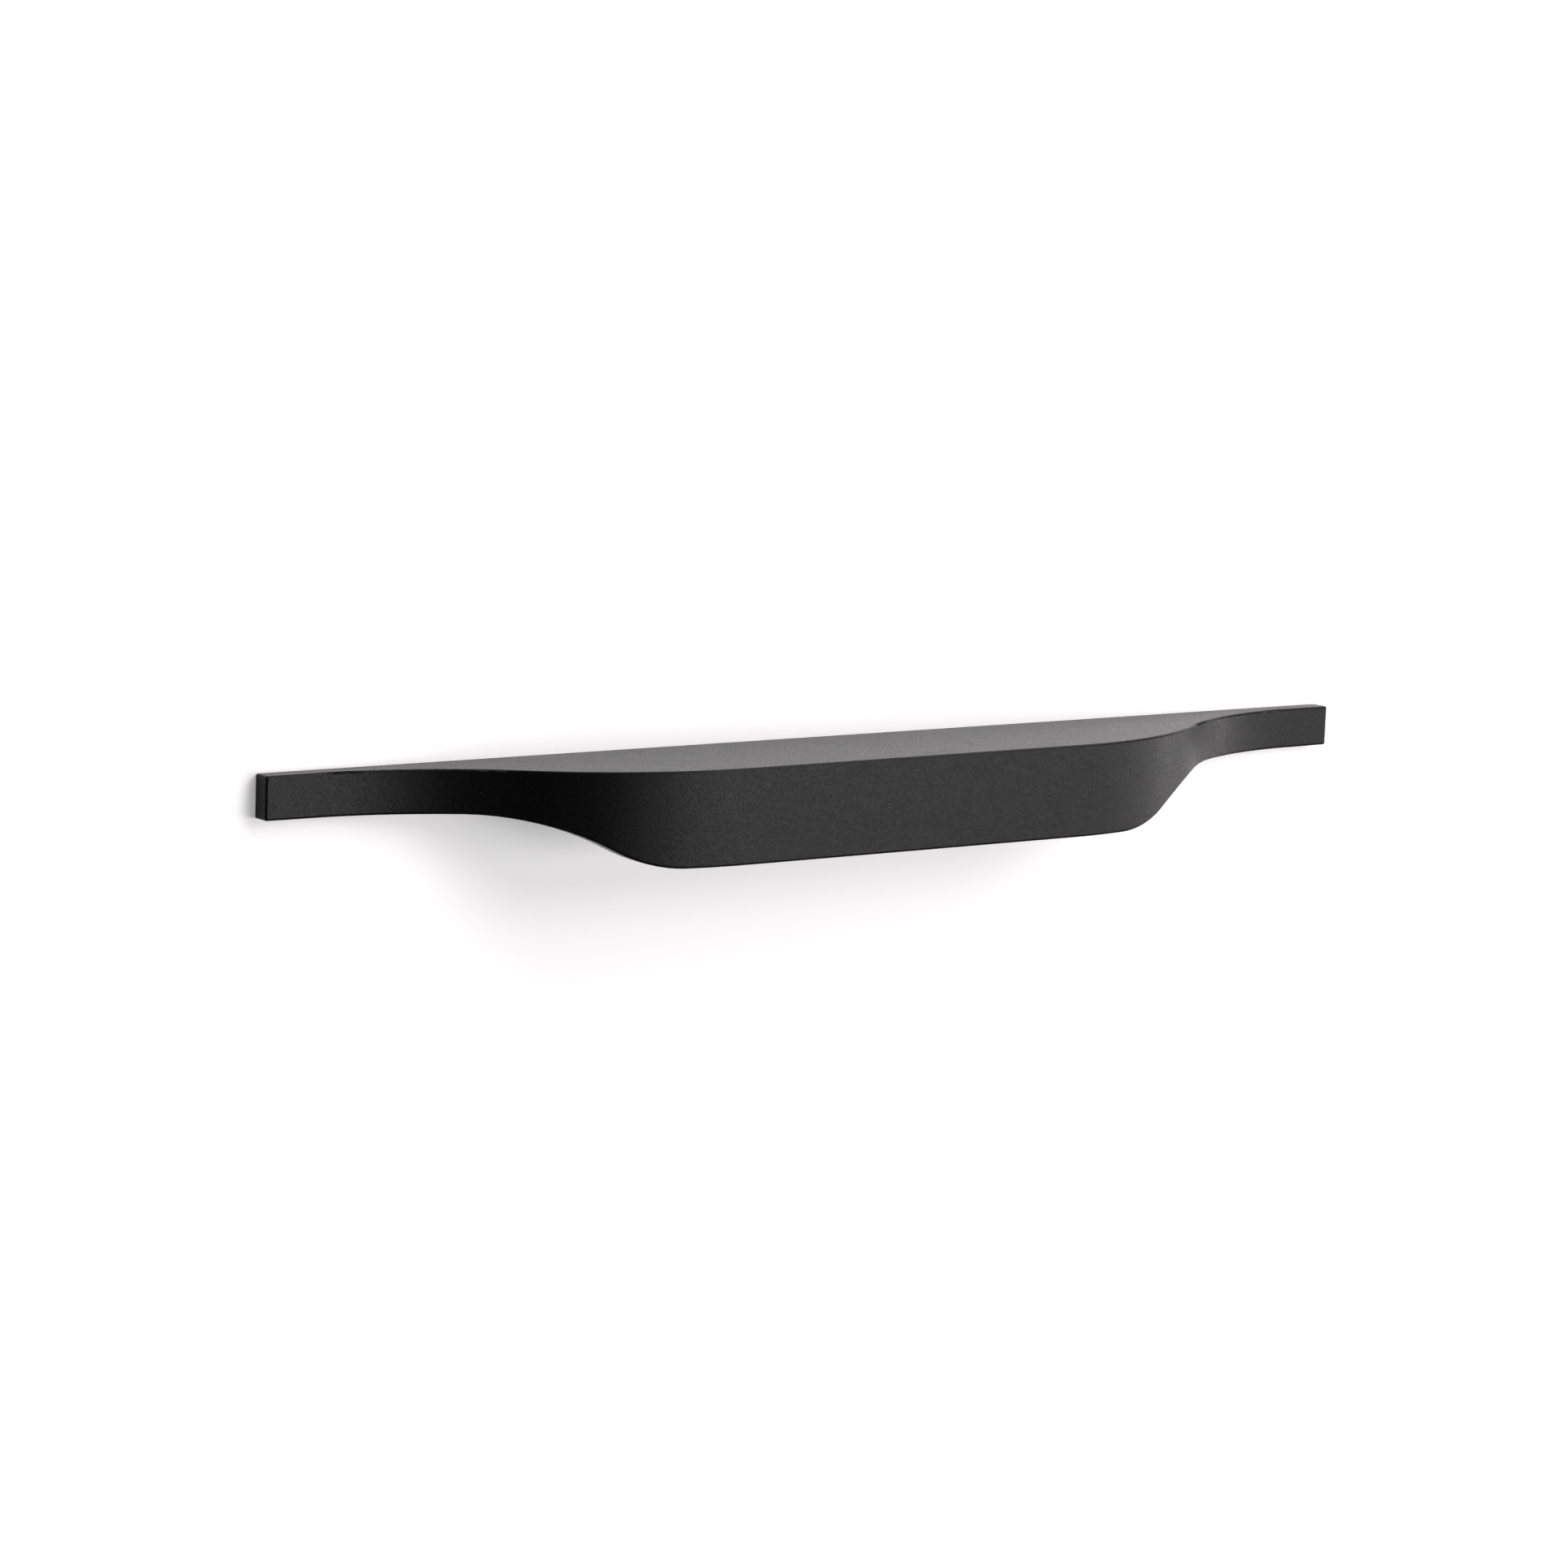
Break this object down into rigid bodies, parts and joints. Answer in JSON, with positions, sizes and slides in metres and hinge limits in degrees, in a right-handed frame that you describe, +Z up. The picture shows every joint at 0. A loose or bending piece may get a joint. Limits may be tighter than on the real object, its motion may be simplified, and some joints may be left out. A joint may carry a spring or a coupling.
{
  "type": "furniture handle",
  "caption": "Pull handle whose flat end bars lie on a door or drawer front and swell into a level top plate with a turned-down lip and a finger recess behind it.",
  "frame": {"origin": "midway between the two screw holes, on the back face that lies on the furniture", "axes": "+Y out of the back face, into the furniture; +X along the handle; +Z up, towards the level top plate"},
  "size_m": [0.22, 0.025, 0.0157],
  "materials": {
    "black_coat": "matt black powder coat on a zinc die-casting"
  },
  "bodies": {
    "root": {"handle": "black_coat"}
  },
  "joints": []
}
